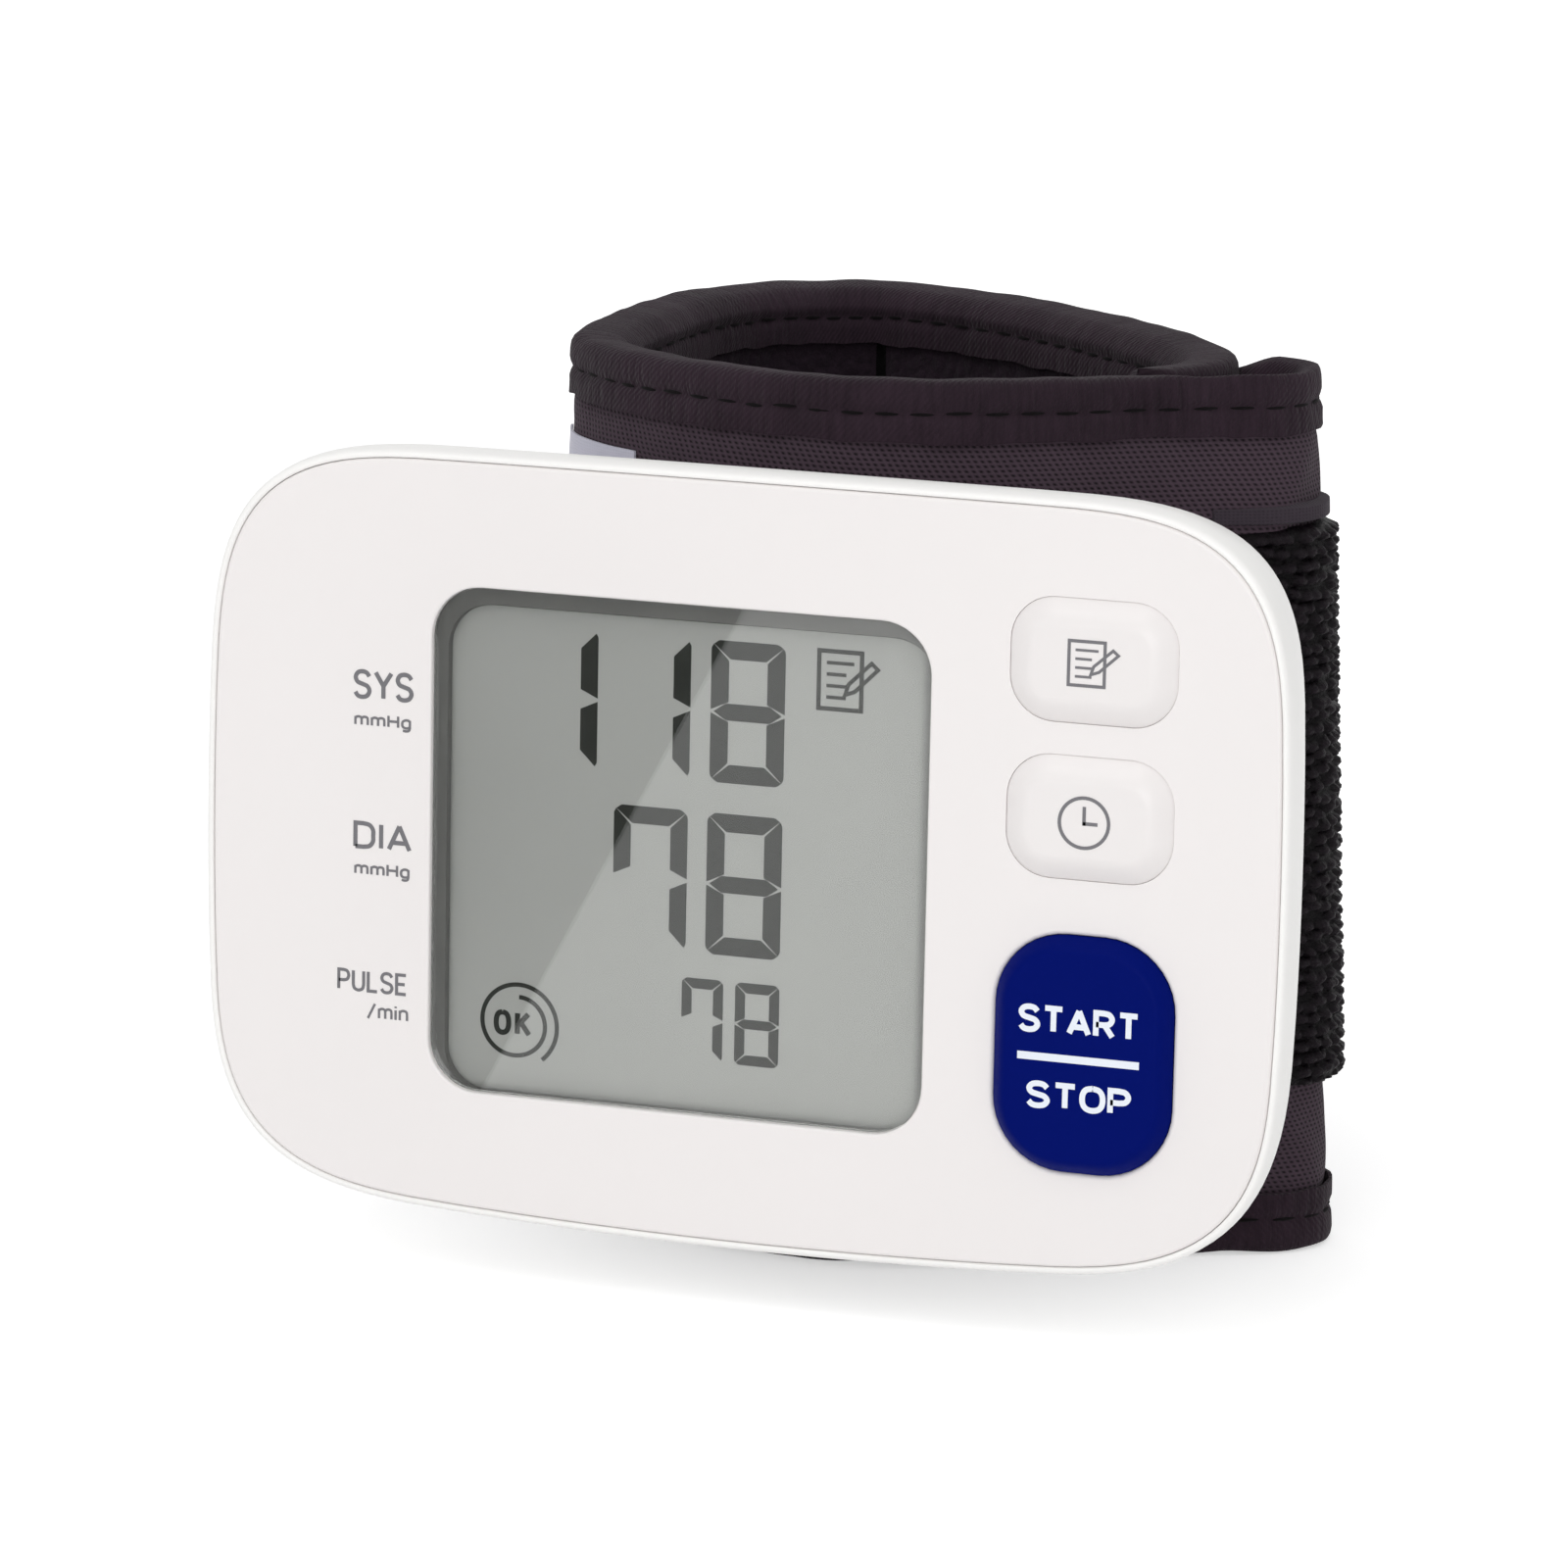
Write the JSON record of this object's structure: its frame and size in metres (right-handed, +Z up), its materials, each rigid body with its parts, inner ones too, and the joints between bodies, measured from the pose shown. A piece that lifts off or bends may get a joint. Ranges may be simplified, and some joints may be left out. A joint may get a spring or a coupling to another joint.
{
  "type": "wrist blood pressure monitor",
  "caption": "Slim white wrist blood pressure monitor with a display window and three keys, on a black wrap-round fabric cuff that stands on its lower edge.",
  "frame": {"origin": "under the middle of the part's box, on the surface that the cuff's lower edge stands on", "axes": "+Z up; the display faces -Y; +X is to the right of someone reading the display"},
  "size_m": [0.091, 0.0766, 0.0741],
  "materials": {
    "front_case_plastic": "fine satin moulded ABS, warm off-white",
    "rear_case_plastic": "smooth moulded ABS, white",
    "window_acrylic": "clear polished acrylic",
    "gasket_foam": "matt foam rubber",
    "display_panel": "grey reflective liquid crystal panel",
    "inner_plastic": "plain moulded plastic",
    "contact_rubber": "striped contact rubber",
    "key_white": "satin moulded, white",
    "key_blue": "satin moulded, deep blue",
    "keypad_rubber": "silicone rubber",
    "board_laminate": "green solder mask",
    "black_plastic": "plain black moulding",
    "plated_steel": "nickel plated",
    "brass": "turned",
    "tube_rubber": "silicone tube",
    "cell_sleeve": "printed sleeve on a cell, bare of print",
    "cuff_twill": "black nylon twill with a brown-violet cast",
    "binding_tape": "black woven tape",
    "curler_sheet": "milky springy sheet",
    "bladder_rubber": "thin rubber bag",
    "cuff_fleece": "brushed black fleece",
    "loop_pile": "coarse black loop pile",
    "label_satin": "pale grey satin label, blank"
  },
  "bodies": {
    "monitor": {"front_case": "front_case_plastic", "rear_case": "rear_case_plastic", "window_lens": "window_acrylic", "window_gasket": "gasket_foam", "display_glass": "display_panel", "display_holder": "inner_plastic", "display_contact_strip": "contact_rubber", "keypad_mat": "keypad_rubber", "circuit_board": "board_laminate", "processor_chip": "black_plastic", "buzzer": "black_plastic", "pump_motor": "plated_steel", "pump_head": "black_plastic", "valve_body": "plated_steel", "air_manifold": "black_plastic", "pressure_sensor": "inner_plastic", "pump_tube": "tube_rubber", "sensor_tube": "tube_rubber", "cell_1": "cell_sleeve", "cell_2": "cell_sleeve", "battery_contact_top": "plated_steel", "battery_contact_1": "plated_steel", "battery_contact_2": "plated_steel", "contact_spring_1": "plated_steel", "contact_spring_2": "plated_steel", "case_screw_1": "plated_steel", "case_screw_2": "plated_steel", "case_screw_3": "plated_steel", "case_screw_4": "plated_steel", "cuff_cover_front": "cuff_twill", "binding_top_front": "binding_tape", "binding_bottom_front": "binding_tape", "curler_front": "curler_sheet", "bladder_front": "bladder_rubber", "cuff_lining_front": "cuff_fleece", "sewn_label": "label_satin", "cuff_saddle": "inner_plastic", "saddle_screw_1": "plated_steel", "saddle_screw_2": "plated_steel"},
    "memory_button": {"memory_key": "key_white"},
    "clock_button": {"clock_key": "key_white"},
    "start_button": {"start_key": "key_blue"},
    "battery_door": {"battery_cover": "rear_case_plastic"},
    "cuff_back": {"cuff_cover_back": "cuff_twill", "binding_top_back": "binding_tape", "binding_bottom_back": "binding_tape", "curler_back": "curler_sheet", "bladder_back": "bladder_rubber", "cuff_lining_back": "cuff_fleece"},
    "cuff_tail": {"cuff_cover_tail": "cuff_twill", "binding_top_tail": "binding_tape", "binding_bottom_tail": "binding_tape", "loop_pad": "loop_pile", "pad_selvedge": "binding_tape"},
    "pump_shaft": {"pump_rotor": "plated_steel"},
    "valve_pin": {"valve_plunger": "brass"}
  },
  "joints": [
    {"name": "memory_press", "type": "slide", "parent": "monitor", "child": "memory_button", "axis": [0, 1, 0], "range_m": [0, 0.0008], "stiffness_N_per_m": 800, "springref_m": -0.0003},
    {"name": "clock_press", "type": "slide", "parent": "monitor", "child": "clock_button", "axis": [0, 1, 0], "range_m": [0, 0.0008], "stiffness_N_per_m": 800, "springref_m": -0.0003},
    {"name": "start_press", "type": "slide", "parent": "monitor", "child": "start_button", "axis": [0, 1, 0], "range_m": [0, 0.0008], "stiffness_N_per_m": 900, "springref_m": -0.0003},
    {"name": "battery_door_slide", "type": "slide", "parent": "monitor", "child": "battery_door", "axis": [-1, 0, 0], "range_m": [0, 0.03]},
    {"name": "cuff_open", "type": "hinge", "parent": "monitor", "child": "cuff_back", "pos_m": [-0.02855, 0.00093, 0], "axis": [0, 0, 1], "range_deg": [0, 35], "stiffness_Nm_per_rad": 0.02, "springref_deg": -5.73},
    {"name": "tail_lift", "type": "hinge", "parent": "monitor", "child": "cuff_tail", "pos_m": [0.02564, -0.00908, 0], "axis": [0, 0, -1], "range_deg": [0, 50]},
    {"name": "pump_turn", "type": "hinge", "parent": "monitor", "child": "pump_shaft", "pos_m": [0.0297, -0.02645, 0], "axis": [0, 0, 1], "continuous": true},
    {"name": "valve_lift", "type": "slide", "parent": "monitor", "child": "valve_pin", "axis": [0, 0, 1], "range_m": [0, 0.001], "stiffness_N_per_m": 300, "springref_m": -0.0003}
  ]
}
